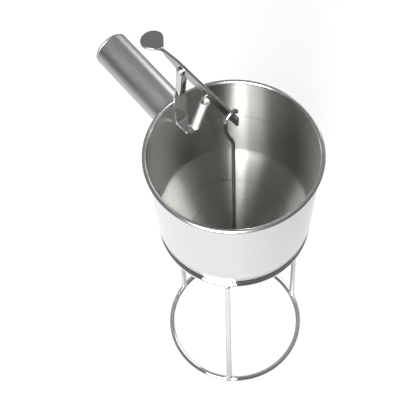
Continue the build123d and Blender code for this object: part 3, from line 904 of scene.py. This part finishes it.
def makeLeg(letter, turn):
    # straight wire between the rings' middles, thinner inside them and flared by the weld just outside
    wire, ends = stand["wire"], leg["endShare"]
    a = np.radians(turn)
    foot, head = ringPath(baseRing, baseZ, a), ringPath(topRing, topZ, a)
    share = np.concatenate([np.linspace(0, ends, leg["endSteps"]),
                            np.linspace(ends, 1 - ends, leg["middleSteps"])[1:-1],
                            np.linspace(1 - ends, 1, leg["endSteps"])])
    near = np.minimum(share, 1 - share) * np.linalg.norm(head - foot)
    flare = leg["weld"] * np.exp(-np.clip(near - wire, 0, None) / leg["weldRun"])
    radius = np.where(near < wire, leg["thinEnd"] * wire, wire + flare)
    points, faces = tube(foot + (head - foot) * share[:, None], radius, leg["sides"], capSteps=2)
    putMesh("standLeg" + letter.upper(), points, faces, "stand", ["stand_leg_" + letter],
            [brightWire])


makeTopRing()
makeBaseRing()
for letter, turn in zip("abc", stand["firstLeg"] + 360 / stand["legs"] * np.arange(stand["legs"])):
    makeLeg(letter, turn)
print("stand made")


# floor, light and camera, lengths in metres unless noted

def makeFloor():
    # pale round floor, shaded where the object keeps light off it and lifted to white for the camera;
    # in the steel's mirror it is painted light: white near the object, greyer further off, and a painted
    # shadow right under it
    f = dict(radius=6000.0, firstRing=50.0, rings=24, turns=64, drop=0.3)  # in millimetres
    # the last four settings give the painted pool of light and the painted shadow that the steel sees in the
    # floor
    g = dict(colour=0.22, lift=0.72, mirrored=0.03, middle=(-0.046, -0.288, 0), paintedPoolRange=(0.26, 0.9),
             paintedPoolGlow=(0.95, 0.36), paintedShadowRange=(0.02, 0.11), paintedShadowGlow=(0.3, 1.0))
    r = np.concatenate([[0], np.geomspace(f["firstRing"], f["radius"], f["rings"])])
    points, faces = revolve(np.stack([r, np.full(r.shape, -f["drop"])], -1), f["turns"], closed=False)
    mesh = bpy.data.meshes.new("studioFloor")
    mesh.from_pydata((points * mm).tolist(), [], faces.tolist())
    material = emptyMaterial("paleFloor")
    add = nodeAdder(material)
    path = add("ShaderNodeLightPath").outputs
    direct = maths(add, "MAXIMUM", path["Is Camera Ray"], path["Is Transmission Ray"])
    spot = add("ShaderNodeTexCoord").outputs["Object"]
    # painted pool of light, seen only in reflections: the glow goes from white near the middle to grey
    # further off
    away = vectorMaths(add, "DISTANCE", spot, g["middle"])["Value"]
    paintedPool = mapped(add, away, g["paintedPoolRange"], g["paintedPoolGlow"])
    # painted shadow under the object, seen only in reflections: the glow darkens close to the axis
    under = vectorMaths(add, "LENGTH", spot)["Value"]
    dark = mapped(add, under, g["paintedShadowRange"], g["paintedShadowGlow"])
    # the steel's reflections see the painted pool of light times the painted shadow
    mirrored = maths(add, "MULTIPLY", path["Is Glossy Ray"], maths(add, "MULTIPLY", paintedPool, dark))
    lift = maths(add, "MULTIPLY_ADD", direct, g["lift"], mirrored)
    shade = mapped(add, path["Is Glossy Ray"], (0.0, 1.0), (g["colour"], g["mirrored"]))
    matt = add("ShaderNodeBsdfDiffuse", {"Color": shade}).outputs[0]
    glow = add("ShaderNodeEmission", {"Color": (1, 1, 1, 1), "Strength": lift}).outputs[0]
    both = add("ShaderNodeAddShader", {0: matt, 1: glow}).outputs[0]
    add("ShaderNodeOutputMaterial", {"Surface": both})
    mesh.materials.append(material)
    floor = bpy.data.objects.new("studioFloor", mesh)
    bpy.context.scene.collection.objects.link(floor)


def makeWorld():
    # grey surroundings by height, a good deal darker in front and at the sides than behind the object
    w = dict(stops=[(0.0, 0.6), (0.5, 0.42), (0.6, 0.31), (0.75, 0.34), (1.0, 0.38)],
             back=(-0.766, 0.643, 0.9), backRange=(0.1, 0.9), strength=(0.24, 1.0))
    world = bpy.data.worlds.new("studioWorld")
    bpy.context.scene.world = world
    world.use_nodes = True
    world.node_tree.nodes.clear()
    add = nodeAdder(world)
    way = add("ShaderNodeTexCoord").outputs["Generated"]
    up = add("ShaderNodeSeparateXYZ", {0: way}).outputs["Z"]
    ramp = add("ShaderNodeValToRGB", {"Fac": mapped(add, up, (-1.0, 1.0), (0.0, 1.0))})
    marks = ramp.color_ramp.elements
    for i, (place, level) in enumerate(w["stops"]):
        mark = marks[i] if i < 2 else marks.new(place)
        mark.position = place
        mark.color = grey(level) + (1,)
    behind = vectorMaths(add, "DOT_PRODUCT", way, w["back"])["Value"]
    strength = mapped(add, behind, w["backRange"], w["strength"])
    sky = add("ShaderNodeBackground", {"Color": ramp.outputs[0], "Strength": strength}).outputs[0]
    add("ShaderNodeOutputWorld", {"Surface": sky})


def placed(right, up, back, place):
    # matrix of an object at a place, with its three axes
    rows = np.stack([right, up, back, place], 1).tolist()
    return Matrix(rows + [[0, 0, 0, 1]])


lamps = [dict(name="highKey", place=(0.629, -0.719, 1.304), size=(0.29, 0.7), power=28.0),
         dict(name="highSide", place=(0.381, -0.876, 1.304), size=(0.55, 0.7), power=16.0),
         dict(name="lowKey", place=(0.838, -0.924, 0.915), size=(0.28, 0.75), power=40.0),
         dict(name="lowSide", place=(0.550, -1.119, 0.915), size=(0.50, 0.75), power=20.0),
         dict(name="backLamp", place=(-0.45, 1.38, 0.75), size=(0.7, 0.7), power=4.7)]


def makeLamp(name, place, size, power):
    # soft rectangular lamp that faces the funnel
    aim = np.array([0, 0, 0.28])
    light = bpy.data.lights.new(name, "AREA")
    light.shape = "RECTANGLE"
    light.size, light.size_y = size
    light.energy = power
    lamp = bpy.data.objects.new(name, light)
    place = np.array(place, float)
    back = (place - aim) / np.linalg.norm(place - aim)
    right = np.cross((0, 0, 1), back)
    right /= np.linalg.norm(right)
    lamp.matrix_world = placed(right, np.cross(back, right), back, place)
    bpy.context.scene.collection.objects.link(lamp)


def makeCamera():
    # off the funnel's axis at an azimuth and height, looking down by pitch with a little pan and roll;
    # focal length and frame in pixels, sensor in millimetres
    c = dict(azimuth=50.0, away=0.4116, height=0.9377, pitch=59.867, pan=-2.778, roll=-2.911,
             focal=981.25, frame=420, sensor=36.0, clip=(0.01, 50))
    turn, pitch, pan, roll = np.radians([c["azimuth"], c["pitch"], c["pan"], c["roll"]])
    ahead = np.array([np.sin(pan) * np.cos(pitch), np.cos(pan) * np.cos(pitch), -np.sin(pitch)])
    right = np.array([np.cos(pan), -np.sin(pan), 0])
    up = np.cross(right, ahead)
    right, up = np.cos(roll) * right + np.sin(roll) * up, np.cos(roll) * up - np.sin(roll) * right
    spin = np.array([[np.cos(turn), -np.sin(turn), 0], [np.sin(turn), np.cos(turn), 0], [0, 0, 1]])
    place = spin @ np.array([0, -c["away"], c["height"]])
    data = bpy.data.cameras.new("photoCamera")
    data.sensor_width = c["sensor"]
    data.lens = c["focal"] / c["frame"] * c["sensor"]
    data.clip_start, data.clip_end = c["clip"]
    camera = bpy.data.objects.new("photoCamera", data)
    camera.matrix_world = placed(spin @ right, spin @ up, spin @ -ahead, place)
    bpy.context.scene.collection.objects.link(camera)
    bpy.context.scene.camera = camera


makeFloor()
makeWorld()
for settings in lamps:
    makeLamp(**settings)
makeCamera()
bpy.context.scene.view_settings.view_transform = "Standard"
print("stage made")
